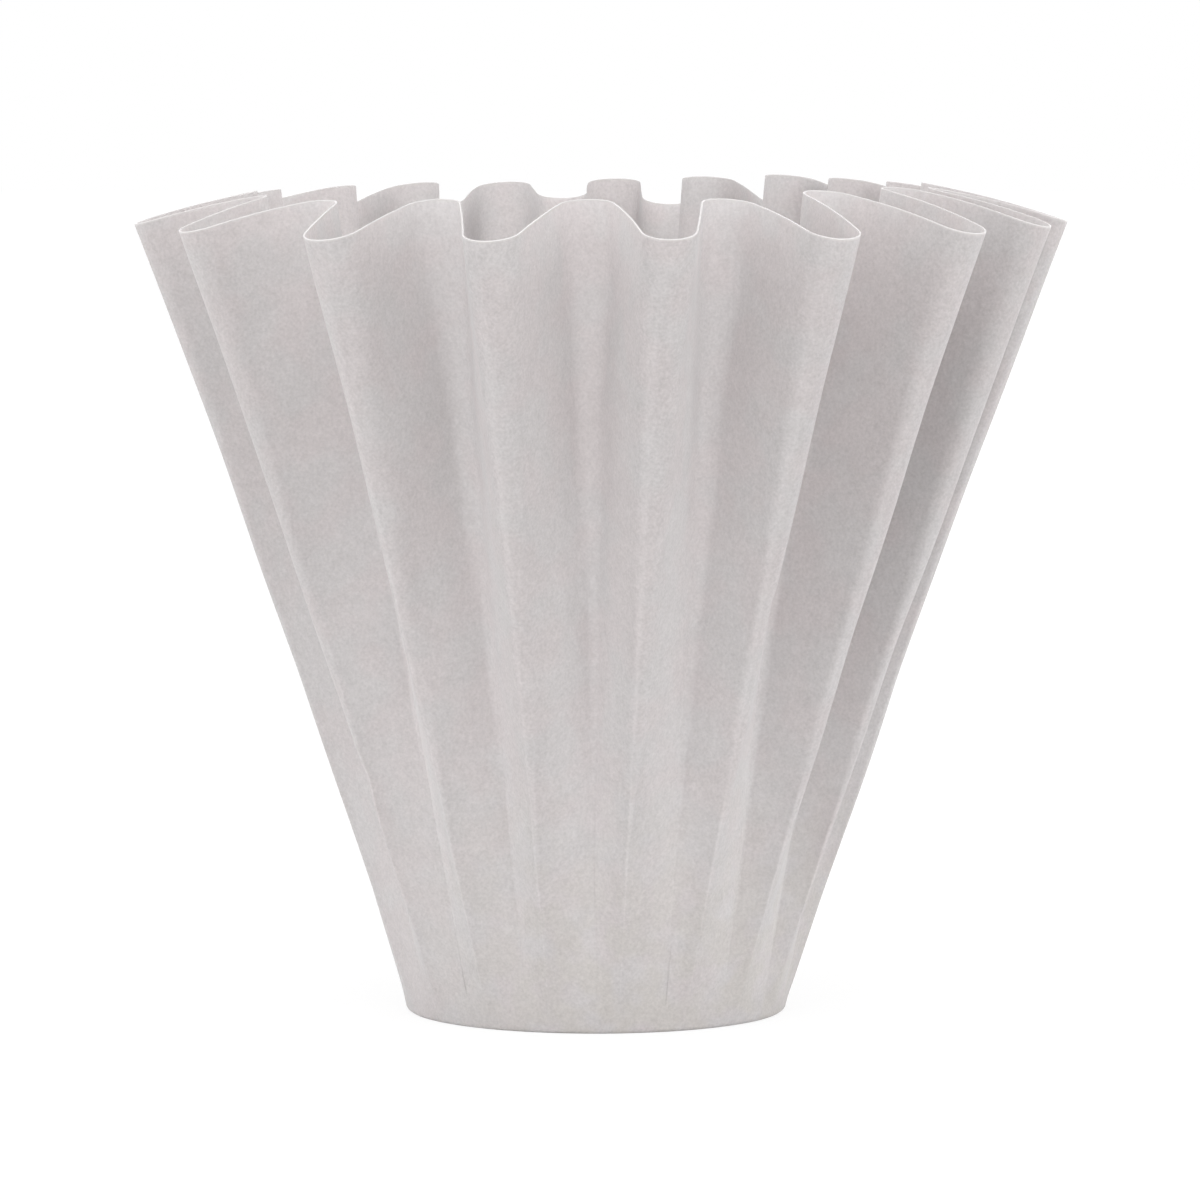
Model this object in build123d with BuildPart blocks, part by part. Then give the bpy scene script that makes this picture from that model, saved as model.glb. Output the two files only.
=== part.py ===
from build123d import *
import os
from collections import namedtuple
from math import atan2, cos, pi, radians, sin, sqrt

# A flat-bottomed coffee filter pressed from one round sheet of paper. All sizes are in millimetres
# and turns in degrees. The front is -Y, a turn is counted from the front towards +X, and the
# underside of the flat bottom lies on Z = 0.

# --- Driving sizes -------------------------------------------------------------------------------
base_radius = 23.3        # middle of the paper where the fluted wall leaves the bottom
corner_radius = 0.8       # underside of the bend between the bottom and the wall
slant_length = 101.6      # paper from the bend to the rim, the same at every turn of the sheet
rim_radius = 56.6         # how far an outward fold reaches at the rim
flute_depth = 15.9        # from an outward fold to an inward fold at the rim
fold_radius = 3.4         # middle of the paper in a fold at the rim
crease_radius = 0.5       # the same fold where it starts, at the bottom bend
fold_opening = 1.8        # power of the wall's rise by which a fold opens, past 1 mostly near the rim
valley_start = 0.68       # how far from one outward fold to the next the inward fold starts
paper_thickness = 0.2
rim_lean = 0.85           # degrees that the rim is out of level, as the sheet was pressed off centre
rim_lean_turn = 112.0     # the turn at which the rim stands highest

# --- Flutes --------------------------------------------------------------------------------------
# One row for each flute, going round from the left. base_turn and crest_turn are where the outward
# fold starts and where it ends at the rim, and valley_turn is the inward fold that follows it. The
# reaches are how much further out than the driving sizes those two folds end, as no two are alike.
Flute = namedtuple("Flute", "base_turn crest_turn crest_reach valley_turn valley_reach")
flutes = [
    Flute(-73.5, -85.0, -0.4, -73.0, 1.0),
    Flute(-53.5, -60.5, -0.2, -49.0, 1.0),
    Flute(-33.5, -35.0, 0.0, -26.5, -1.0),
    Flute(-13.5, -13.0, 0.0, -1.5, -1.0),
    Flute(6.7, 9.0, 0.0, 21.0, 0.0),
    Flute(26.9, 30.5, 0.4, 43.0, -3.0),
    Flute(46.0, 52.5, 0.4, 67.0, -3.0),
    Flute(65.0, 72.0, 0.6, 81.0, 0.0),
    Flute(84.0, 91.0, 0.8, 100.0, 0.0),
    Flute(102.5, 108.0, 0.8, 116.0, 0.0),
    Flute(120.5, 124.0, 0.6, 131.0, -1.0),
    Flute(138.5, 138.5, 0.3, 144.5, -1.5),
    Flute(156.5, 153.5, 0.0, 161.0, 0.0),
    Flute(174.5, 170.0, 0.0, 177.0, 1.0),
    Flute(192.5, 185.0, -3.0, 194.5, 3.5),
    Flute(211.0, 202.0, 0.0, 210.0, 3.0),
    Flute(229.5, 218.0, 0.0, 226.5, 2.5),
    Flute(248.0, 238.0, -0.2, 248.0, 2.0),
    Flute(267.0, 257.5, -0.4, 266.0, 1.0),
]

# --- Worked out from the driving sizes ------------------------------------------------------------
half_paper = paper_thickness / 2
valley_radius = rim_radius - flute_depth
section_shares = (0.05, 0.16, 0.35, 0.62, 1.0, 1.08)    # of the wall's rise, where folds are drawn
fold_room = 0.97          # most of the room between two folds that their radii may take up
fold_share = 0.5          # part of the bottom ring that starts folds, the rest starting flanks
past_rim = 10.0           # how far the shape that ends the wall at the rim is wider than the rim

Fold = namedtuple("Fold", "centre radius outward")


def around(radius, turn, height=0):
    """The point at a distance from the axis, a turn from the front and a height."""
    return Vector(radius * sin(radians(turn)), -radius * cos(radians(turn)), height)


def between(start, end, share):
    """The point that lies a share of the way from one point to another."""
    return start + (end - start) * share


def rim_height(radius):
    """How high the sheet's edge stands where it ends at this distance from the axis."""
    return corner_radius + sqrt(slant_length**2 - (radius - base_radius) ** 2)


def base_turns():
    """The turns at which the folds start on the bottom bend: outward, inward, outward and so on."""
    turns = []
    for flute, following in zip(flutes, flutes[1:] + flutes[:1]):
        pitch = (following.base_turn - flute.base_turn) % 360
        turns += [flute.base_turn, flute.base_turn + pitch * valley_start]
    return turns


def fold_ends():
    """For each fold in turn, its middle and radius at the rim, and whether it points outward."""
    ends = []
    for flute in flutes:
        crest = rim_radius + flute.crest_reach
        valley = valley_radius + flute.valley_reach
        crest_end = around(crest - fold_radius, flute.crest_turn, rim_height(crest))
        valley_end = around(valley + fold_radius, flute.valley_turn, rim_height(valley))
        ends.append(Fold(crest_end, fold_radius, True))
        ends.append(Fold(valley_end, fold_radius, False))
    return ends


def folds_at(height, skin):
    """The folds at a height, for the skin that lies this far outside the middle of the paper."""
    full = []
    for turn, end in zip(base_turns(), fold_ends()):
        side = 1 if end.outward else -1
        start = around(base_radius - side * crease_radius, turn, corner_radius)
        share = (height - corner_radius) / (end.centre.Z - corner_radius)
        opening = min(share, 1) ** fold_opening      # past the rim a fold opens no further
        radius = crease_radius + (end.radius - crease_radius) * opening
        full.append(Fold(between(start, end.centre, share), radius, end.outward))
    folds = []
    for before, fold, after in zip(full[-1:] + full[:-1], full, full[1:] + full[:1]):
        nearest = min((other.centre - fold.centre).length for other in (before, after))
        radius = min(fold.radius, nearest * fold_room / 2)
        folds.append(fold._replace(radius=radius + skin if fold.outward else radius - skin))
    return folds


def flank(fold, following):
    """The two ends of the straight paper that runs from one fold to the next."""
    gap = following.centre - fold.centre
    along = gap.normalized()
    across = Vector(along.Y, -along.X) if fold.outward else Vector(-along.Y, along.X)
    reach = (fold.radius + following.radius) / gap.length
    normal = along * reach + across * sqrt(1 - reach**2)
    return fold.centre + normal * fold.radius, following.centre - normal * following.radius


def fold_middle(fold, start, end):
    """The point halfway round a fold, which an outward fold passes anticlockwise."""
    first = atan2(start.Y - fold.centre.Y, start.X - fold.centre.X)
    last = atan2(end.Y - fold.centre.Y, end.X - fold.centre.X)
    sweep = (last - first) % (2 * pi) if fold.outward else -((first - last) % (2 * pi))
    halfway = first + sweep / 2
    return fold.centre + Vector(cos(halfway), sin(halfway)) * fold.radius


def fluted_section(height, skin):
    """A level cut through the wall's folds: an arc for each fold and a line for each flank."""
    folds = folds_at(height, skin)
    flanks = [flank(fold, following) for fold, following in zip(folds, folds[1:] + folds[:1])]
    edges = []
    for fold, arriving, leaving in zip(folds, flanks[-1:] + flanks[:-1], flanks):
        edges.append(ThreePointArc(arriving[1], fold_middle(fold, arriving[1], leaving[0]), leaving[0]))
        edges.append(Line(*leaving))
    return Face(Wire(edges))


def round_section(skin):
    """The ring where the wall meets the bottom bend, in as many edges as a fluted section."""
    turns = base_turns()
    stops = []
    for turn, following in zip(turns, turns[1:] + turns[:1]):
        pitch = (following - turn) % 360
        half_fold = pitch * fold_share / 2
        stops += [turn + half_fold, turn + pitch - half_fold]
    edges = []
    for start, end in zip(stops[-1:] + stops[:-1], stops):
        halfway = start + (end - start) % 360 / 2
        ring = [around(base_radius + skin, turn, corner_radius) for turn in (start, halfway, end)]
        edges.append(ThreePointArc(*ring))
    return Face(Wire(edges))


def wall_skin(skin):
    """The sections of one skin of the wall, from the bottom bend to above the rim."""
    rise = rim_height(rim_radius) - corner_radius
    heights = [corner_radius + rise * share for share in section_shares]
    return [round_section(skin)] + [fluted_section(height, skin) for height in heights]


def bottom_profile():
    """Half of a cut through the flat bottom and its bend, up to where the wall starts."""
    flat_end = base_radius + half_paper - corner_radius
    inner_corner = corner_radius - paper_thickness
    with BuildSketch(Plane.XZ) as profile:
        with BuildLine():
            Line((0, 0), (flat_end, 0))
            RadiusArc((flat_end, 0), (flat_end + corner_radius, corner_radius), -corner_radius)
            Line((flat_end + corner_radius, corner_radius), (flat_end + inner_corner, corner_radius))
            RadiusArc((flat_end + inner_corner, corner_radius), (flat_end, paper_thickness), inner_corner)
            Line((flat_end, paper_thickness), (0, paper_thickness))
            Line((0, paper_thickness), (0, 0))
        make_face()
    return profile.sketch


def rim_frame():
    """A plane through the middle of the bottom bend whose Y is the leaning axis of the rim."""
    high_side = around(1, rim_lean_turn)
    outward = high_side * cos(radians(rim_lean)) + Vector(0, 0, sin(radians(rim_lean)))
    upward = Vector(0, 0, cos(radians(rim_lean))) - high_side * sin(radians(rim_lean))
    return Plane((0, 0, corner_radius), x_dir=outward, z_dir=outward.cross(upward))


def sheet_profile():
    """Half of a cut through all the places that the sheet reaches from the bottom bend."""
    side = rim_radius + past_rim
    side_top = sqrt(slant_length**2 - (side - base_radius) ** 2)
    with BuildSketch(rim_frame()) as profile:
        with BuildLine():
            Line((0, -past_rim), (side, -past_rim))
            Line((side, -past_rim), (side, side_top))
            RadiusArc((side, side_top), (base_radius, slant_length), -slant_length)
            Line((base_radius, slant_length), (0, slant_length))
            Line((0, slant_length), (0, -past_rim))
        make_face()
    return profile.sketch


with BuildPart() as filter_paper:
    with BuildPart() as wall:
        loft(wall_skin(half_paper), ruled=True)
        loft(wall_skin(-half_paper), ruled=True, mode=Mode.SUBTRACT)
        rim_axis = Axis((0, 0, corner_radius), rim_frame().y_dir)
        revolve(sheet_profile(), axis=rim_axis, mode=Mode.INTERSECT)
    revolve(bottom_profile(), axis=Axis.Z)

os.makedirs("parts", exist_ok=True)
export_step(filter_paper.part, "parts/filter_paper.step")
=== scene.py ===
"""A fluted paper coffee filter, standing on its flat bottom on a plain white table.

The filter is one round sheet of paper pressed into a flat bottom, a small bend and a steep wall of
uneven flutes. Its paper is worked out here as one closed shell, a fifth of a millimetre thick, over
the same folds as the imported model, with the slight cockling and crush marks that pressed paper
has. All lengths are in metres and the front of the filter faces -Y.
"""

from __future__ import annotations

import logging
import math
from dataclasses import dataclass, field
from enum import Enum
from typing import Any, Union

import bpy
import numpy as np
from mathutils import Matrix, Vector


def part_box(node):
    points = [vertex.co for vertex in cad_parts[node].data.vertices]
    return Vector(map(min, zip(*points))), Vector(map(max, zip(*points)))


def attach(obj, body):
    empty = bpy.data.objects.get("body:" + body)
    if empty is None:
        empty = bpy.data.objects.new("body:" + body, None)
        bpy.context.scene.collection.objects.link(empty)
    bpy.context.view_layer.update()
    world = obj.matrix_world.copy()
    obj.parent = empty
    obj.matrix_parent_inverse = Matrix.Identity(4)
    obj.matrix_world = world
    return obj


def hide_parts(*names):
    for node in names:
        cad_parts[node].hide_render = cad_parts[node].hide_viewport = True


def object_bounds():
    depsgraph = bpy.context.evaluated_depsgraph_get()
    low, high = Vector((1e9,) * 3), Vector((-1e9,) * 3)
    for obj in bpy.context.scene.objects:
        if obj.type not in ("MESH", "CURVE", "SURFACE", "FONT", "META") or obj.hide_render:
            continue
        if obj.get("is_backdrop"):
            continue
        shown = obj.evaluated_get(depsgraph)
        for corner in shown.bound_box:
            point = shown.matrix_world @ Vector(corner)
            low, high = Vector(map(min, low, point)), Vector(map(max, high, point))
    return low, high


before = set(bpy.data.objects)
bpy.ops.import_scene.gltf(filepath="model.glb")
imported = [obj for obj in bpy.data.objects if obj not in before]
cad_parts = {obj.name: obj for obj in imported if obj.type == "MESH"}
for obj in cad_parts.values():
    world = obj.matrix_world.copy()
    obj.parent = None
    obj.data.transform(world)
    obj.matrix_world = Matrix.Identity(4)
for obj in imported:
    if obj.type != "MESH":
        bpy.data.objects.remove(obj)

LOG = logging.getLogger("coffee_filter")
NODE = "filter_paper"
ROOT = "root"

# The least number of metres that is divided by.
TINY = 1e-6

Array = np.ndarray
Colour = tuple[float, float, float]
Band = tuple[float, float]

PLAIN_WHITE = (1.0, 1.0, 1.0, 1.0)


class Side(Enum):
    """The two sides of the sheet, by the way that each faces from the middle of the paper."""

    OUTSIDE = 1.0
    INSIDE = -1.0


class Lit(Enum):
    """Where a lamp stands, seen from the front of the filter."""

    LEFT = "key_left"
    RIGHT = "fill_right"
    HIGH = "soft_high_front"
    ABOVE = "soft_above"


class Mark(Enum):
    """What is marked on the paper, point by point."""

    # The crease mark places a painted highlight, the hollow mark painted light in the hollows and
    # painted shade on the ridges, and the inner-side mark painted light on the inner side.
    CREASE = "crease"
    CUT_EDGE = "cut_edge"
    FOLD_LIGHT_AND_SHADE = "hollow"
    INNER_SIDE_LIGHT = "inner_side"


# --- Shader sums ----------------------------------------------------------------------------------


class Signal:
    """One output of a node, on which Python's operators add Math nodes."""

    def __init__(self, board: "NodeBoard", socket: bpy.types.NodeSocket) -> None:
        """Keeps the socket and the board that it belongs to."""
        self.board = board
        self.socket = socket

    def _sum(self, operation: str, first: "Number", second: "Number") -> "Signal":
        """Adds one Math node for an operator and returns its result."""
        return self.board.maths(operation, first, second)

    def __add__(self, other: "Number") -> "Signal":
        """This value plus another."""
        return self._sum("ADD", self, other)

    def __radd__(self, other: "Number") -> "Signal":
        """Another value plus this one."""
        return self._sum("ADD", other, self)

    def __sub__(self, other: "Number") -> "Signal":
        """This value less another."""
        return self._sum("SUBTRACT", self, other)

    def __rsub__(self, other: "Number") -> "Signal":
        """Another value less this one."""
        return self._sum("SUBTRACT", other, self)

    def __mul__(self, other: "Number") -> "Signal":
        """This value times another."""
        return self._sum("MULTIPLY", self, other)

    def __rmul__(self, other: "Number") -> "Signal":
        """Another value times this one."""
        return self._sum("MULTIPLY", other, self)


Number = Union[float, Signal]


class NodeBoard:
    """A node tree that is built up from plain calls."""

    def __init__(self, tree: bpy.types.NodeTree) -> None:
        """Takes an empty node tree."""
        self.tree = tree
        self.tree.nodes.clear()

    def node(
        self, kind: str, settings: dict[str, Any] | None = None, **inputs: Any
    ) -> bpy.types.Node:
        """Adds one node.

        Args:
            kind: The node's type, such as "ShaderNodeTexNoise".
            settings: Properties of the node, set before its inputs.
            **inputs: Values or links for its sockets. A socket's name has _ for each space, and a
                numbered socket is _0, _1 and so on.

        Returns:
            The new node.
        """
        made = self.tree.nodes.new(kind)
        for name, value in (settings or {}).items():
            setattr(made, name, value)
        for name, value in inputs.items():
            numbered = name.startswith("_")
            socket = made.inputs[int(name[1:])] if numbered else made.inputs[name.replace("_", " ")]
            if isinstance(value, Signal):
                self.tree.links.new(value.socket, socket)
            else:
                socket.default_value = value
        return made

    def take(self, made: bpy.types.Node, output: str | int = 0) -> Signal:
        """One output of a node, ready for sums."""
        return Signal(self, made.outputs[output])

    def maths(self, operation: str, first: Number, second: Number) -> Signal:
        """A Math node of one operation on two values."""
        return self.take(self.node("ShaderNodeMath", {"operation": operation}, _0=first, _1=second))

    def noise(self, where: Signal, size: float, detail: float, roughness: float) -> Signal:
        """Soft noise whose lumps are about this many metres across.

        Args:
            where: The coordinates, in metres.
            size: The width of a lump, in metres.
            detail: How many finer layers are added.
            roughness: How strong the finer layers are.

        Returns:
            The noise, around a half.
        """
        made = self.node(
            "ShaderNodeTexNoise",
            {"noise_dimensions": "3D"},
            Vector=where,
            Scale=1 / size,
            Detail=detail,
            Roughness=roughness,
        )
        return self.take(made, "Fac")

    def blend(self, factor: Number, first: Any, second: Any) -> Signal:
        """A colour between two others."""
        made = self.node(
            "ShaderNodeMix",
            {"data_type": "RGBA", "clamp_factor": True},
            _0=factor,
            _6=first,
            _7=second,
        )
        return self.take(made, 2)

    def marked(self, mark: "Mark") -> Signal:
        """One of the paper's marks, read back from the mesh."""
        made = self.node("ShaderNodeAttribute", {"attribute_name": mark.value})
        return self.take(made, "Fac")

    def tinted(self, colour: Signal, brightness: Signal) -> Signal:
        """A colour made lighter or darker by a number."""
        made = self.node(
            "ShaderNodeMix",
            {"data_type": "RGBA", "blend_type": "MULTIPLY"},
            _0=1.0,
            _6=colour,
            _7=brightness,
        )
        return self.take(made, 2)

    def stretch(self, value: Signal, band: Band) -> Signal:
        """Spreads a value so that a band's low end is nought and its high end one, no further."""
        low, high = band
        made = self.node(
            "ShaderNodeMapRange", {"clamp": True}, Value=value, From_Min=low, From_Max=high
        )
        return self.take(made, "Result")


# --- Paper ----------------------------------------------------------------------------------------


@dataclass(frozen=True)
class FilterPaperFinish:
    """Matt white filter paper: uneven pulp, short fibres, painted light and shade, even cut edge.

    A band is the part of a value that is spread from nought to one. A mix holds the shares of
    clouds, fibres and grain, or of fibres and grain alone. A lift is how much lighter a mark makes
    the paper where it is one; the three lifts paint a highlight along each crease, light in the
    hollows and on the inner side, and shade on the ridges.
    """

    rosy: Colour = (0.573, 0.541, 0.541)
    neutral: Colour = (0.565, 0.546, 0.546)
    straw: Colour = (0.556, 0.533, 0.517)
    cut_tint: Colour = (0.560, 0.540, 0.536)
    pulp_size: float = 0.0065
    pulp_band: Band = (0.42, 0.58)
    straw_size: float = 0.6
    straw_band: Band = (0.40, 0.58)
    straw_height: Band = (-0.034, -0.006)
    straw_aside: Band = (-0.004, 0.022)
    straw_slant: float = 0.7
    cloud_size: float = 0.0034
    fibre_size: float = 0.0008
    grain_size: float = 0.00034
    speckle_mix: tuple[float, float, float] = (0.18, 0.30, 0.52)
    speckle_band: Band = (0.30, 0.70)
    speckle_range: float = 0.22
    tooth_mix: tuple[float, float] = (0.6, 0.4)
    tooth_depth: float = 0.00006
    tooth_strength: float = 0.5
    roughness: float = 0.88
    roughness_range: float = 0.12
    specular: float = 0.25
    # Painted highlight along one side of each outward fold.
    crease_highlight_lift: float = 0.06
    # Painted light in the flutes' hollows and painted shade on their ridges.
    fold_light_and_shade_lift: float = 0.27
    # Painted light on the whole inner side of the sheet.
    inner_side_light_lift: float = 0.08
    glow: float = 1.0
    glow_reach: float = 0.0007
    glow_colour: Colour = (1.0, 0.98, 0.97)

    def pulp_tint(self, board: NodeBoard, where: Signal) -> Signal:
        """The paper's slow change of tint: rosy and neutral patches, with straw ones low down.

        Straw patches grow with the depth below a height and with the distance towards the front
        and the right, and they are as large as a share of the other patches.

        Args:
            board: The material's nodes.
            where: Object coordinates.

        Returns:
            The tint.
        """
        pulp = board.noise(where, self.pulp_size, detail=1.5, roughness=0.5)
        pulp = board.stretch(pulp, self.pulp_band)
        tint = board.blend(pulp, (*self.rosy, 1.0), (*self.neutral, 1.0))
        place = board.node("ShaderNodeSeparateXYZ", _0=where)
        low = board.stretch(board.take(place, 2) * -1.0, self.straw_height)
        aside = board.take(place, 0) * self.straw_slant - board.take(place, 1)
        aside = board.stretch(aside, self.straw_aside)
        straw = board.noise(where, self.pulp_size * self.straw_size, detail=1.0, roughness=0.5)
        straw = board.stretch(straw, self.straw_band)
        return board.blend(low * aside * straw, tint, (*self.straw, 1.0))

    def speckle(self, board: NodeBoard, fibre: Signal, grain: Signal, where: Signal) -> Signal:
        """How light the paper is at each spot, around nought, from clouds, fibres and grain.

        Args:
            board: The material's nodes.
            fibre: Noise as long as short fibres.
            grain: Finer noise.
            where: Object coordinates.

        Returns:
            The lightness, from minus a half to a half.
        """
        cloud = board.noise(where, self.cloud_size, detail=2.0, roughness=0.55)
        clouds, fibres, grains = self.speckle_mix
        mixed = cloud * clouds + fibre * fibres + grain * grains
        return board.stretch(mixed, self.speckle_band) - 0.5

    def material(self) -> bpy.types.Material:
        """Builds the paper's material.

        The tint changes slowly and the lightness in specks, and the surface is as uneven as its
        fibres and grain. A painted highlight runs along one side of each outward fold, and the cut
        edge is one even tint. The flutes' hollows and the inner side are painted lighter, as
        painted light, and the ridges darker, as painted shade. No real paper is: it offsets shade
        that is deeper in these folds than in thin paper, which lets more light through.

        Returns:
            The material.
        """
        made = bpy.data.materials.new("matt_filter_paper")
        made.use_nodes = True
        board = NodeBoard(made.node_tree)
        where = board.take(board.node("ShaderNodeTexCoord"), "Object")
        fibre = board.noise(where, self.fibre_size, detail=2.0, roughness=0.6)
        grain = board.noise(where, self.grain_size, detail=1.0, roughness=0.6)
        # Speckle is the paper's own tone; the three marks add a painted highlight along each
        # crease, painted light in the hollows and on the inner side, and painted shade on the
        # ridges.
        brightness = (
            self.speckle(board, fibre, grain, where) * self.speckle_range
            + board.marked(Mark.CREASE) * self.crease_highlight_lift
            + board.marked(Mark.FOLD_LIGHT_AND_SHADE) * self.fold_light_and_shade_lift
            + board.marked(Mark.INNER_SIDE_LIGHT) * self.inner_side_light_lift
            + 1.0
        )
        colour = board.tinted(self.pulp_tint(board, where), brightness)
        colour = board.blend(board.marked(Mark.CUT_EDGE), colour, (*self.cut_tint, 1.0))
        fibres, grains = self.tooth_mix
        tooth = board.node(
            "ShaderNodeBump",
            Height=fibre * fibres + grain * grains,
            Strength=self.tooth_strength,
            Distance=self.tooth_depth,
        )
        smoothest = self.roughness - self.roughness_range / 2
        paper = board.node(
            "ShaderNodeBsdfPrincipled",
            {"subsurface_method": "RANDOM_WALK"},
            Base_Color=colour,
            Roughness=board.stretch(fibre, (0.0, 1.0)) * self.roughness_range + smoothest,
            Normal=board.take(tooth, "Normal"),
            Subsurface_Weight=self.glow,
            Subsurface_Radius=self.glow_colour,
            Subsurface_Scale=self.glow_reach,
            Specular_IOR_Level=self.specular,
        )
        board.node("ShaderNodeOutputMaterial", Surface=board.take(paper))
        return made


@dataclass(frozen=True)
class Flute:
    """One flute: an outward fold and the inward fold that follows it, going round to the right.

    Turns are in degrees from the front. The reaches are how much further out than the rim's and
    the inward folds' own sizes these two folds end, as no two are alike.
    """

    base_turn: float
    crest_turn: float
    crest_reach: float
    valley_turn: float
    valley_reach: float


@dataclass(frozen=True)
class CrushMark:
    """A small dent where the paper buckled: its middle, half widths, depth and slant."""

    turn: float
    height: float
    half_across: float
    half_up: float
    depth: float
    slant: float = 0.0


FLUTES = (
    Flute(-73.5, -85.0, -0.0004, -73.0, 0.0010),
    Flute(-53.5, -60.5, -0.0002, -49.0, 0.0010),
    Flute(-33.5, -35.0, 0.0, -26.5, -0.0010),
    Flute(-13.5, -13.0, 0.0, -1.5, -0.0010),
    Flute(6.7, 9.0, 0.0, 21.0, 0.0),
    Flute(26.9, 30.5, 0.0004, 43.0, -0.0030),
    Flute(46.0, 52.5, 0.0004, 67.0, -0.0030),
    Flute(65.0, 72.0, 0.0006, 81.0, 0.0),
    Flute(84.0, 91.0, 0.0008, 100.0, 0.0),
    Flute(102.5, 108.0, 0.0008, 116.0, 0.0),
    Flute(120.5, 124.0, 0.0006, 131.0, -0.0010),
    Flute(138.5, 138.5, 0.0003, 144.5, -0.0015),
    Flute(156.5, 153.5, 0.0, 161.0, 0.0),
    Flute(174.5, 170.0, 0.0, 177.0, 0.0010),
    Flute(192.5, 185.0, -0.0030, 194.5, 0.0035),
    Flute(211.0, 202.0, 0.0, 210.0, 0.0030),
    Flute(229.5, 218.0, 0.0, 226.5, 0.0025),
    Flute(248.0, 238.0, -0.0002, 248.0, 0.0020),
    Flute(267.0, 257.5, -0.0004, 266.0, 0.0010),
)

CRUSH_MARKS = (
    CrushMark(-44.0, 0.0445, 0.0030, 0.0012, 0.00035, 0.1),
    CrushMark(-54.0, 0.0300, 0.0040, 0.0014, 0.00035, -0.1),
    CrushMark(-13.0, 0.0288, 0.0022, 0.0010, 0.00030, 0.0),
    CrushMark(10.0, 0.0284, 0.0022, 0.0010, 0.00035, 0.1),
    CrushMark(58.0, 0.0400, 0.0030, 0.0013, 0.00030, 0.2),
    CrushMark(33.0, 0.0520, 0.0034, 0.0015, 0.00025, -0.2),
    CrushMark(103.0, 0.0330, 0.0040, 0.0016, 0.00040, 0.0),
    CrushMark(150.0, 0.0380, 0.0034, 0.0013, 0.00030, 0.1),
    CrushMark(205.0, 0.0300, 0.0034, 0.0012, 0.00035, -0.1),
    CrushMark(250.0, 0.0420, 0.0036, 0.0014, 0.00030, 0.1),
)

# Waves of the cockling: how many go round the filter, and how long each is up the wall.
COCKLE_WAVES = ((7, 0.090), (13, 0.060), (23, 0.045), (38, 0.034), (57, 0.026))

# Waves of the cut edge: how many go round, the share of each, and where it starts in radians.
EDGE_WAVES = ((5, 1.0, 0.7), (13, 0.7, 2.1), (31, 0.4, 0.0))


def around(radius: Array | float, turn: Array | float) -> Array:
    """Points on the level at distances from the axis and turns, in degrees, from the front.

    A point is (radius times the turn's sine, minus radius times its cosine).

    Args:
        radius: Distances from the axis.
        turn: Turns from the front towards +X.

    Returns:
        The points' X and Y in a last axis of two.
    """
    angle = np.radians(turn)
    return np.stack(np.broadcast_arrays(radius * np.sin(angle), -radius * np.cos(angle)), axis=-1)


def ease(share: Array) -> Array:
    """A smooth step: nought up to 0, one from 1, and three squares less two cubes between."""
    held = np.clip(share, 0.0, 1.0)
    return held * held * (3.0 - 2.0 * held)


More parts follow.
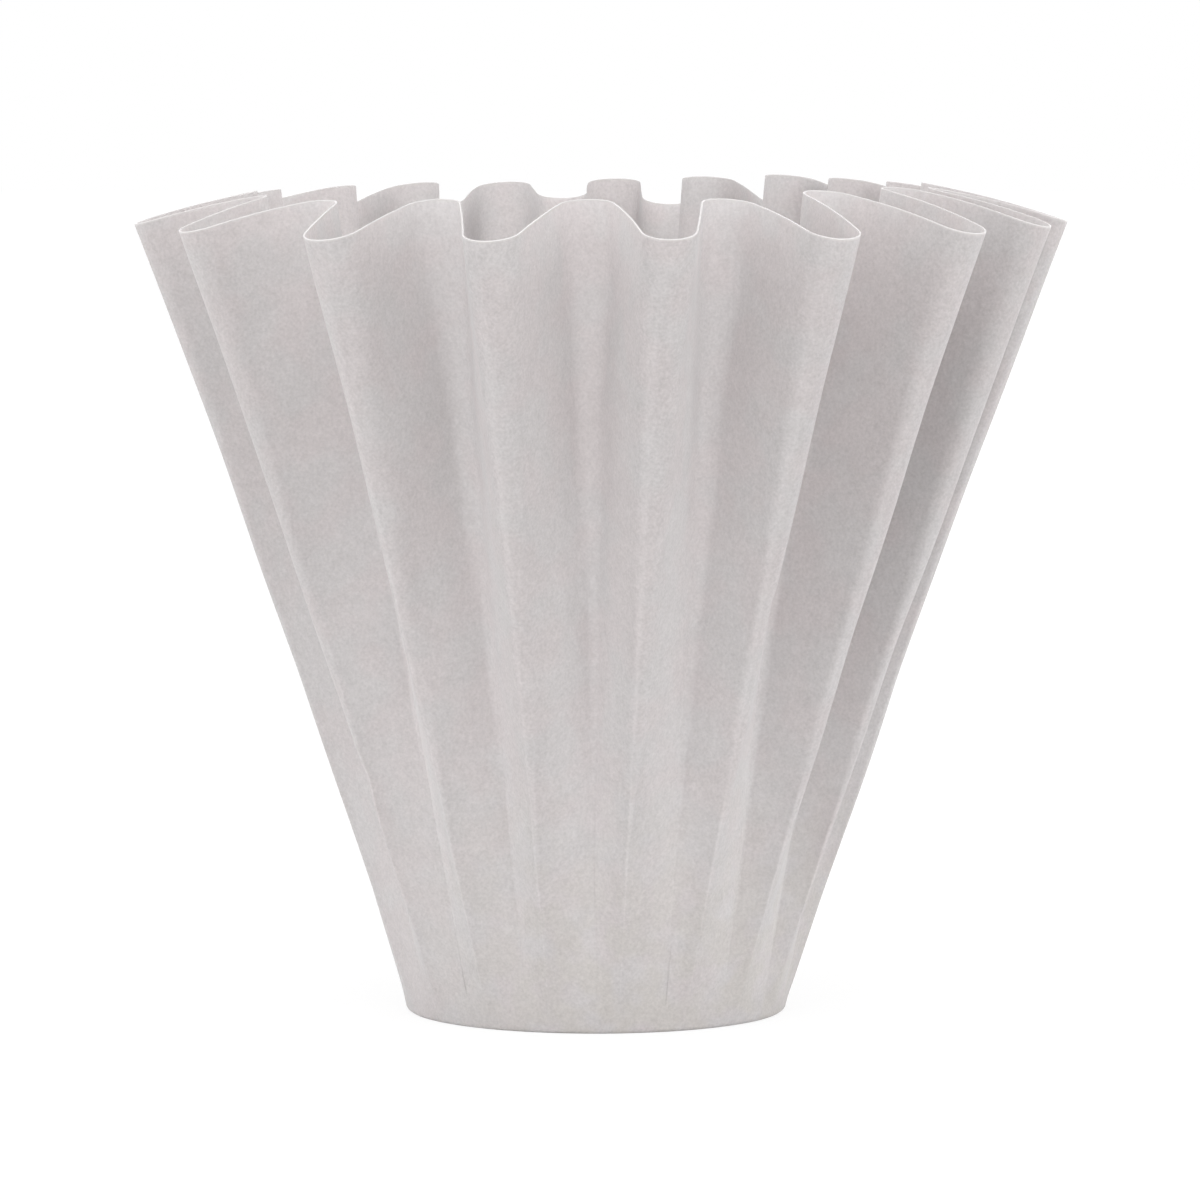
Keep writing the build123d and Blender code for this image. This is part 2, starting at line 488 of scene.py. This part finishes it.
@dataclass
class FilterPaper:
    """The whole filter: one round sheet with a flat bottom, a bend and a fluted wall.

    Lengths are in metres, turns and angles in degrees. Of the other sizes, fold_opening,
    level_spacing and row_spacing are powers, and valley_start, top_level, cockle_rise,
    crease_place and crease_end are shares: of the way to the next flute, of the wall's rise, of
    the slant length, of a fold's columns and of the slant length. crease_width is in columns, and
    deepest_hollow is in flute depths.
    """

    floor: float
    base_radius: float = 0.0233
    corner_radius: float = 0.0008
    slant_length: float = 0.1016
    rim_radius: float = 0.0566
    flute_depth: float = 0.0159
    fold_radius: float = 0.0034
    crease_radius: float = 0.0005
    fold_opening: float = 1.8
    valley_start: float = 0.68
    paper_thickness: float = 0.0002
    rim_lean: float = 0.85
    rim_lean_turn: float = 112.0
    fade_height: float = 0.0030
    cockle_depth: float = 0.00010
    cockle_rise: float = 0.35
    cockle_seed: int = 19
    edge_waver: float = 0.00015
    edge_band: float = 0.0003
    # These place the painted highlight along each outward fold, and the deepest hollow caps the
    # painted light in the hollows.
    crease_place: float = 0.32
    crease_width: float = 1.1
    crease_start: float = 0.006
    crease_end: float = 0.3
    deepest_hollow: float = 1.3
    sharp_angle: float = 55.0
    steps_in_fold: int = 11
    steps_in_flank: int = 6
    levels: int = 48
    top_level: float = 1.1
    level_spacing: float = 1.5
    wall_rows: int = 60
    row_spacing: float = 1.25
    bend_rows: int = 4
    flat_rows: int = 5
    flutes: tuple[Flute, ...] = FLUTES
    crush_marks: tuple[CrushMark, ...] = CRUSH_MARKS
    finish: FilterPaperFinish = field(default_factory=FilterPaperFinish)

    @property
    def half_paper(self) -> float:
        """Half the thickness of the paper."""
        return self.paper_thickness / 2

    @property
    def columns(self) -> int:
        """How many points go round the filter."""
        return 2 * len(self.flutes) * (self.steps_in_fold + self.steps_in_flank)

    def rim_height(self, radius: Array) -> Array:
        """How high the sheet ends when it ends this far from the axis: one slant from the bend."""
        run = radius - self.base_radius
        return self.corner_radius + np.sqrt(self.slant_length**2 - run**2)

    def base_turns(self) -> Array:
        """The turns where folds start on the bend: each flute's own, then its inward fold's."""
        own = np.array([flute.base_turn for flute in self.flutes])
        pitch = (np.roll(own, -1) - own) % 360.0
        return np.stack([own, own + pitch * self.valley_start], axis=1).ravel()

    def belts(self, heights: Array) -> Array:
        """Level cuts through the middle of the wall's paper, one for each height.

        Each fold is a circle whose middle moves evenly with height and whose radius grows by a
        power of it, so a fold opens mostly near the rim, and its tip bows by up to about 0.6 mm
        from a straight line near half height. The paper passes round the outward circles on their
        outside and the inward ones on their inside, and between two of them it follows the
        straight line that touches both and crosses between them.

        Args:
            heights: The levels, above the underside of the filter.

        Returns:
            Points by level, column and X or Y.
        """
        side = np.tile([1.0, -1.0], len(self.flutes))
        reach = np.array([(f.crest_reach, f.valley_reach) for f in self.flutes]).ravel()
        turn = np.array([(f.crest_turn, f.valley_turn) for f in self.flutes]).ravel()
        inward = self.flute_depth * (side < 0)
        tip = self.rim_radius - inward + reach
        end = around(tip - side * self.fold_radius, turn)
        start = around(self.base_radius - side * self.crease_radius, self.base_turns())
        rise = self.rim_height(tip) - self.corner_radius
        share = (heights[:, None] - self.corner_radius) / rise[None, :]
        centre = start + (end - start) * share[..., None]
        opening = np.minimum(share, 1.0) ** self.fold_opening
        radius = self.crease_radius + (self.fold_radius - self.crease_radius) * opening

        gap = np.roll(centre, -1, axis=1) - centre
        length = np.linalg.norm(gap, axis=-1)
        along = gap / length[..., None]
        across = side[None, :, None] * np.stack([along[..., 1], -along[..., 0]], axis=-1)
        lean = (radius + np.roll(radius, -1, axis=1)) / length
        normal = along * lean[..., None] + across * np.sqrt(1.0 - lean**2)[..., None]
        leaving = centre + normal * radius[..., None]
        arriving = np.roll(centre, -1, axis=1) - normal * np.roll(radius, -1, axis=1)[..., None]

        before = -np.roll(normal, 1, axis=1)
        first = np.arctan2(before[..., 1], before[..., 0])
        last = np.arctan2(normal[..., 1], normal[..., 0])
        quarter = math.pi / 2
        sweep = side * ((side * (last - first) + quarter) % math.tau - quarter)
        steps = np.arange(self.steps_in_fold) / self.steps_in_fold
        angle = first[..., None] + sweep[..., None] * steps
        ring = np.stack([np.cos(angle), np.sin(angle)], axis=-1)
        folds = centre[:, :, None, :] + ring * radius[:, :, None, None]
        steps = (np.arange(self.steps_in_flank) / self.steps_in_flank)[:, None]
        flanks = leaving[:, :, None, :] + (arriving - leaving)[:, :, None, :] * steps
        return np.concatenate([folds, flanks], axis=2).reshape(len(heights), self.columns, 2)

    def ring_turns(self) -> Array:
        """The turn of each column on the bend, where half the ring starts folds, half flanks.

        A fold takes a quarter of the way to each of its neighbours and a flank the half between.
        """
        turns = self.base_turns()
        pitch = (np.roll(turns, -1) - turns) % 360.0
        fold = np.arange(self.steps_in_fold) / self.steps_in_fold
        flank = np.arange(self.steps_in_flank) / self.steps_in_flank
        before = np.roll(pitch, 1)
        fold_start = turns - before / 4
        folds = fold_start[:, None] + (before + pitch)[:, None] / 4 * fold
        flanks = (turns + pitch / 4)[:, None] + pitch[:, None] / 2 * flank
        return np.concatenate([folds, flanks], axis=1).ravel()

    def slants(self, points: Array) -> Array:
        """How far along the paper each point of the wall is from the bend.

        Distances are taken in an upright half plane through the rim's own axis, which leans, as
        the straight line from the bend's circle to the point.

        Args:
            points: Points of the wall, by level, column and axis.

        Returns:
            The distances, by level and column.
        """
        lean = math.radians(self.rim_lean)
        high_side = around(1.0, self.rim_lean_turn)
        upward = np.array([*(-high_side * math.sin(lean)), math.cos(lean)])
        arm = points - np.array([0.0, 0.0, self.corner_radius])
        up = arm @ upward
        out = np.linalg.norm(arm - up[..., None] * upward, axis=-1)
        return np.hypot(out - self.base_radius, up)

    def edge_slants(self) -> Array:
        """Where the cut edge lies at each column: the slant length, with a slight slow waver."""
        turn = np.arange(self.columns) / self.columns * math.tau
        waver = sum(part * np.sin(cycles * turn + start) for cycles, part, start in EDGE_WAVES)
        return self.slant_length + self.edge_waver * waver / 2

    def wall(self) -> Array:
        """The middle of the wall's paper, from just above the bend to the rim.

        Level cuts are stacked from the bend to above the rim, and close to the bend they pass
        smoothly into circles that widen at the wall's mean slope. Each column is then cut to the
        slant length and divided into rows, closer together near the bend and with one more just
        below the rim, by straight lines between the levels.

        Returns:
            Points by row, column and axis.
        """
        rise = self.rim_height(np.array(self.rim_radius)) - self.corner_radius
        level = np.linspace(0.0, 1.0, self.levels) ** self.level_spacing
        heights = self.corner_radius + rise * self.top_level * level
        widening = (self.rim_radius - self.flute_depth / 2 - self.base_radius) / rise
        width = self.base_radius + widening * (heights - self.corner_radius)
        ring = around(width[:, None], self.ring_turns()[None, :])
        opened = ease((heights - self.corner_radius) / self.fade_height)[:, None, None]
        levels = ring + (self.belts(heights) - ring) * opened
        upright = np.broadcast_to(heights[:, None, None], (*levels.shape[:2], 1))
        stack = np.concatenate([levels, upright], axis=-1)

        slant = self.slants(stack)
        share = np.linspace(0.0, 1.0, self.wall_rows)[1:] ** self.row_spacing
        share = np.insert(share, -1, 1.0 - self.edge_band / self.slant_length)
        wanted = share[:, None] * self.edge_slants()[None, :]
        below = (slant[None] < wanted[:, None]).sum(axis=1) - 1
        below = np.clip(below, 0, self.levels - 2)
        column = np.arange(self.columns)[None, :]
        low, high = slant[below, column], slant[below + 1, column]
        part = ((wanted - low) / (high - low))[..., None]
        return stack[below, column] * (1.0 - part) + stack[below + 1, column] * part

    def bottom(self) -> Array:
        """The middle of the paper from beside the axis out over the flat and up the bend.

        The flat is rings of evenly growing radius at half the paper's thickness, and the bend is
        a quarter circle from there to upright.

        Returns:
            Points by row, column and axis.
        """
        bend = self.corner_radius - self.half_paper
        flat_end = self.base_radius - bend
        flat = flat_end * np.linspace(0.0, 1.0, self.flat_rows + 1)[1:]
        angle = np.linspace(0.0, math.pi / 2, self.bend_rows + 1)[1:]
        radius = np.concatenate([flat, flat_end + bend * np.sin(angle)])
        height = np.concatenate([np.zeros(self.flat_rows), bend * (1.0 - np.cos(angle))])
        level = around(radius[:, None], self.ring_turns()[None, :])
        upright = np.broadcast_to((self.half_paper + height)[:, None, None], (*level.shape[:2], 1))
        return np.concatenate([level, upright], axis=-1)

    def facing(self, sheet: Array) -> Array:
        """The way that the outside of the paper faces at each point of its middle.

        It is the cross product of the step to the next column and the step to the next row, each
        taken from the neighbours on both sides.

        Args:
            sheet: Points by row, column and axis.

        Returns:
            Unit vectors, in the same order.
        """
        sideways = np.roll(sheet, -1, axis=1) - np.roll(sheet, 1, axis=1)
        upwards = np.gradient(sheet, axis=0)
        outward = np.cross(sideways, upwards)
        return outward / np.linalg.norm(outward, axis=-1, keepdims=True)

    def cockle(self, sheet: Array) -> Array:
        """How far the paper stands off its pressed shape, from cockling and crush marks.

        Cockling is half the sum of a few slow waves that run round and up the wall, and it grows
        from nothing at the bend. A crush mark is a bell-shaped dent, longer across than up.

        Args:
            sheet: Points by row, column and axis.

        Returns:
            The distances outward, by row and column.
        """
        waves = np.random.default_rng(self.cockle_seed)
        turn = np.arange(self.columns) / self.columns * math.tau
        height = sheet[..., 2]
        loose = ease((height - self.corner_radius) / (self.slant_length * self.cockle_rise))
        ripple = np.zeros_like(height)
        for cycles, wavelength in COCKLE_WAVES:
            phase, drift = waves.uniform(0.0, math.tau), waves.choice([-1.0, 1.0])
            climb = drift * math.tau * height / wavelength
            ripple += np.sin(cycles * turn[None, :] + climb + phase)
        offset = self.cockle_depth * loose * ripple / 2.0
        way = np.degrees(np.arctan2(sheet[..., 0], -sheet[..., 1]))
        radius = np.hypot(sheet[..., 0], sheet[..., 1])
        for mark in self.crush_marks:
            aside = (way - mark.turn + 180.0) % 360.0 - 180.0
            across = np.radians(aside) * radius
            up = height - mark.height - mark.slant * across
            bell = np.exp(-((across / mark.half_across) ** 2) - (up / mark.half_up) ** 2)
            offset -= mark.depth * bell
        return offset

    def crease_highlight_marks(self, sheet: Array) -> Array:
        """How strong the painted highlight along each outward fold is, from nought to one.

        A bell runs along each outward fold about a third of the way round it, a few columns wide.
        It fades in above the bend and out again towards the rim, where the fold is open.

        Args:
            sheet: Points by row, column and axis.

        Returns:
            The marks, by row and column.
        """
        step = np.arange(self.steps_in_fold + self.steps_in_flank)
        middle = self.steps_in_fold * self.crease_place
        bell = np.exp(-(((step - middle) / self.crease_width) ** 2))
        around_filter = np.tile(np.concatenate([bell, np.zeros_like(bell)]), len(self.flutes))
        height = sheet[..., 2]
        near_bend = ease((height - self.corner_radius) / self.crease_start)
        near_rim = ease((self.slant_length - height) / (self.slant_length * self.crease_end))
        return around_filter[None, :] * near_bend * near_rim

    def hollows(self, sheet: Array) -> Array:
        """How deep in a flute's hollow each point of the outside lies.

        It goes by the distance from the axis, from minus a half on the ridges to a half in the
        hollows, or to 0.8 where one is deeper, and fades out towards the bend. It places painted
        shade on the ridges and painted light in the hollows.

        Args:
            sheet: Points by row, column and axis.

        Returns:
            The depths, by row and column.
        """
        height = sheet[..., 2]
        share = np.clip((height - self.corner_radius) / self.slant_length, 0.0, 1.0)
        ridge = self.base_radius + (self.rim_radius - self.base_radius) * share
        depth = np.maximum(self.flute_depth * share, TINY)
        inward = (ridge - np.hypot(sheet[..., 0], sheet[..., 1])) / depth
        return (np.clip(inward, 0.0, self.deepest_hollow) - 0.5) * np.sqrt(share)

    def cut_edges(self, rows: int) -> Array:
        """One along the cut edge of the sheet and nought elsewhere, by row and column."""
        marks = np.zeros((rows, self.columns))
        marks[-1] = 1.0
        return marks

    def faces(self, rows: int) -> Array:
        """The quads of the closed shell.

        Points of the outside come first, row by row, then those of the inside. A quad joins two
        columns and two rows, wound so that it faces out of the paper, and a last strip joins the
        two sides along the rim.

        Args:
            rows: How many rows each side has.

        Returns:
            Four point numbers for each quad.
        """
        row = np.arange(rows - 1)[:, None] * self.columns
        column = np.arange(self.columns)[None, :]
        following = (column + 1) % self.columns
        lower_left, lower_right = row + column, row + following
        upper_left, upper_right = lower_left + self.columns, lower_right + self.columns
        outside = np.stack([lower_left, lower_right, upper_right, upper_left], axis=-1)
        inside = outside[..., ::-1] + rows * self.columns
        edge = (rows - 1) * self.columns
        rim = np.stack([edge + column, edge + following], axis=-1)
        rim = np.concatenate([rim, rim[..., ::-1] + rows * self.columns], axis=-1)
        return np.concatenate([quads.reshape(-1, 4) for quads in (outside, inside, rim)])

    def fans(self, rows: int) -> Array:
        """The triangles that close the first ring of each side to a point on the axis.

        Args:
            rows: How many rows each side has.

        Returns:
            Three point numbers for each triangle.
        """
        column = np.arange(self.columns)
        following = (column + 1) % self.columns
        start = rows * self.columns
        outside_pole, inside_pole = 2 * start, 2 * start + 1
        outside = np.stack([np.full_like(column, outside_pole), following, column], axis=-1)
        inside = np.stack([np.full_like(column, inside_pole), column, following], axis=-1)
        inside[:, 1:] += start
        return np.concatenate([outside, inside])

    def mark(self, mesh: bpy.types.Mesh, mark: Mark, sides: list[Array]) -> None:
        """Writes one mark onto the mesh's points, outside first, with nought at the two poles."""
        values = np.concatenate([*(side.ravel() for side in sides), [0.0, 0.0]])
        layer = mesh.attributes.new(mark.value, "FLOAT", "POINT")
        layer.data.foreach_set("value", values.astype(np.float32))

    def build(self) -> bpy.types.Object:
        """Builds the filter's mesh as a closed shell and gives it its material.

        The middle of the paper is the bottom and the wall together. Each side of the sheet stands
        off it by half the paper's thickness, along the way that the outside faces.

        Returns:
            The filter's object, with its place in its mesh.
        """
        middle = np.concatenate([self.bottom(), self.wall()])
        middle = middle + self.facing(middle) * self.cockle(middle)[..., None]
        outward = self.facing(middle)
        rows = len(middle)
        skins = [middle + outward * self.half_paper * side.value for side in Side]
        poles = np.array([[0.0, 0.0, self.half_paper * (1.0 - side.value)] for side in Side])
        points = np.concatenate([*(skin.reshape(-1, 3) for skin in skins), poles])
        points[:, 2] += self.floor

        mesh = bpy.data.meshes.new("pressed_filter_paper")
        faces = self.faces(rows).tolist() + self.fans(rows).tolist()
        mesh.from_pydata(points, [], faces)
        mesh.update()
        mesh.validate()
        # Painted highlight along each outward fold, on both sides of the sheet.
        self.mark(mesh, Mark.CREASE, [self.crease_highlight_marks(middle)] * 2)
        self.mark(mesh, Mark.CUT_EDGE, [self.cut_edges(rows)] * 2)
        every = np.ones((rows, self.columns))
        # Painted light in the outside's hollows with painted shade on its ridges, and painted light
        # on the whole inner side.
        self.mark(mesh, Mark.FOLD_LIGHT_AND_SHADE, [self.hollows(middle), every * 0.0])
        self.mark(mesh, Mark.INNER_SIDE_LIGHT, [every * 0.0, every])
        mesh.polygons.foreach_set("use_smooth", np.ones(len(mesh.polygons), dtype=bool))
        mesh.set_sharp_from_angle(angle=math.radians(self.sharp_angle))
        mesh.materials.append(self.finish.material())
        made = bpy.data.objects.new("pressed_filter", mesh)
        bpy.context.scene.collection.objects.link(made)
        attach(made, ROOT)
        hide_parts(NODE)
        return made


# --- Table, light and camera ----------------------------------------------------------------------


@dataclass(frozen=True)
class TableFinish:
    """A white table that looks white to the eye and still takes the filter's soft shadow."""

    colour: Colour = (0.86, 0.86, 0.86)
    roughness: float = 0.7
    specular: float = 0.2
    shadow_share: float = 0.16
    whiteness: float = 1.05

    def material(self) -> bpy.types.Material:
        """Builds the table's material: mostly plain white where it is looked at.

        Returns:
            The material.
        """
        made = bpy.data.materials.new("white_table")
        made.use_nodes = True
        board = NodeBoard(made.node_tree)
        seen = board.take(board.node("ShaderNodeLightPath"), "Is Camera Ray")
        top = board.node(
            "ShaderNodeBsdfPrincipled",
            Base_Color=(*self.colour, 1.0),
            Roughness=self.roughness,
            Specular_IOR_Level=self.specular,
        )
        white = board.node("ShaderNodeEmission", Color=PLAIN_WHITE, Strength=self.whiteness)
        mixed = board.node(
            "ShaderNodeMixShader",
            _0=seen * (1.0 - self.shadow_share),
            _1=board.take(top),
            _2=board.take(white),
        )
        board.node("ShaderNodeOutputMaterial", Surface=board.take(mixed))
        return made


@dataclass
class Table:
    """A wide level table top under the filter."""

    height: float
    half_side: float = 3.0
    finish: TableFinish = field(default_factory=TableFinish)

    def build(self) -> bpy.types.Object:
        """Builds the table top as one large square and marks it as staging."""
        corners = np.array([(-1, -1), (1, -1), (1, 1), (-1, 1)]) * self.half_side
        points = np.column_stack([corners, np.full(4, self.height)])
        mesh = bpy.data.meshes.new("table_top")
        mesh.from_pydata(points, [], [(0, 1, 2, 3)])
        mesh.materials.append(self.finish.material())
        made = bpy.data.objects.new("table_top", mesh)
        bpy.context.scene.collection.objects.link(made)
        made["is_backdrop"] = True
        return made


@dataclass(frozen=True)
class Softbox:
    """A square lamp that looks at the filter.

    Its share is how bright it alone would make a white surface that faces it.
    """

    lit: Lit
    place: tuple[float, float, float]
    side: float
    share: float

    def build(self, aim: Vector) -> bpy.types.Object:
        """Adds the lamp.

        A square lamp of some power lights a white surface to that power over the squares of pi and
        of its distance, so the power is worked out from the share.

        Args:
            aim: The point that the lamp looks at.

        Returns:
            The lamp's object.
        """
        place = Vector(self.place)
        lamp = bpy.data.lights.new(self.lit.value, "AREA")
        lamp.shape = "SQUARE"
        lamp.size = self.side
        lamp.energy = self.share * math.pi**2 * (place - aim).length_squared
        made = bpy.data.objects.new(self.lit.value, lamp)
        made.location = place
        made.rotation_euler = (aim - place).to_track_quat("-Z", "Y").to_euler()
        bpy.context.scene.collection.objects.link(made)
        return made


@dataclass
class Studio:
    """The white surroundings and the soft lamps."""

    aim: Vector
    ambient: float = 0.88
    lamps: tuple[Softbox, ...] = (
        Softbox(Lit.LEFT, (-1.10, -0.90, 0.50), 0.9, 0.09),
        Softbox(Lit.RIGHT, (1.15, -0.90, 0.40), 0.9, 0.10),
        Softbox(Lit.HIGH, (0.0, -1.05, 1.15), 0.9, 0.14),
        Softbox(Lit.ABOVE, (0.0, -0.10, 1.40), 0.9, 0.32),
    )

    def surroundings(self) -> None:
        """Makes the world an even pale grey light that looks plain white itself."""
        world = bpy.data.worlds.new("white_room")
        world.use_nodes = True
        bpy.context.scene.world = world
        board = NodeBoard(world.node_tree)
        path = board.node("ShaderNodeLightPath")
        seen = board.take(path, "Is Camera Ray") + board.take(path, "Is Glossy Ray")
        seen = board.maths("MINIMUM", seen + board.take(path, "Is Transmission Ray"), 1.0)
        shade = board.blend(seen, (self.ambient,) * 3 + (1.0,), PLAIN_WHITE)
        room = board.node("ShaderNodeBackground", Color=shade, Strength=1.0)
        board.node("ShaderNodeOutputWorld", Surface=board.take(room))

    def build(self) -> None:
        """Builds the surroundings and every lamp."""
        self.surroundings()
        for lamp in self.lamps:
            lamp.build(self.aim)


@dataclass
class Viewpoint:
    """A camera in front of the filter, a little above its rim and looking slightly down.

    The lens and the sensor's width are in millimetres and the dip is in degrees.
    """

    floor: float
    aside: float = 0.0005
    distance: float = 0.9605
    height: float = 0.1327
    dip: float = 4.896
    lens: float = 235.84
    sensor_width: float = 36.0
    nearest: float = 0.01
    furthest: float = 50.0

    def build(self) -> bpy.types.Object:
        """Adds the camera and makes it the scene's own."""
        camera = bpy.data.cameras.new("front_camera")
        camera.sensor_width = self.sensor_width
        camera.lens = self.lens
        camera.clip_start = self.nearest
        camera.clip_end = self.furthest
        made = bpy.data.objects.new("front_camera", camera)
        made.location = (self.aside, -self.distance, self.floor + self.height)
        made.rotation_euler = (math.radians(90.0 - self.dip), 0.0, 0.0)
        bpy.context.scene.collection.objects.link(made)
        bpy.context.scene.camera = made
        return made


def corners() -> list[list[float]]:
    """The lowest and highest corner of what is shown, as plain lists."""
    return [list(corner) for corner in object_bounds()]


def main() -> None:
    """Builds the filter, its table, its light and the camera, and logs a line about each."""
    logging.basicConfig(level=logging.INFO, format="%(name)s: %(message)s")
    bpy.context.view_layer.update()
    low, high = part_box(NODE)
    filter_paper = FilterPaper(floor=low[2])
    made = filter_paper.build()
    triangles = sum(len(face.vertices) - 2 for face in made.data.polygons)
    LOG.info("%s: %d flutes, %d triangles", made.name, len(filter_paper.flutes), triangles)
    table = Table(height=low[2]).build()
    LOG.info("%s: %.1f m square", table.name, 2 * Table.half_side)
    studio = Studio(aim=Vector((0.0, 0.0, (low[2] + high[2]) / 2)))
    studio.build()
    LOG.info("studio: %d lamps", len(studio.lamps))
    camera = Viewpoint(floor=low[2]).build()
    LOG.info("%s: %.1f mm lens", camera.name, camera.data.lens)
    bpy.context.scene.view_settings.view_transform = "Standard"


if __name__ == "__main__":
    main()
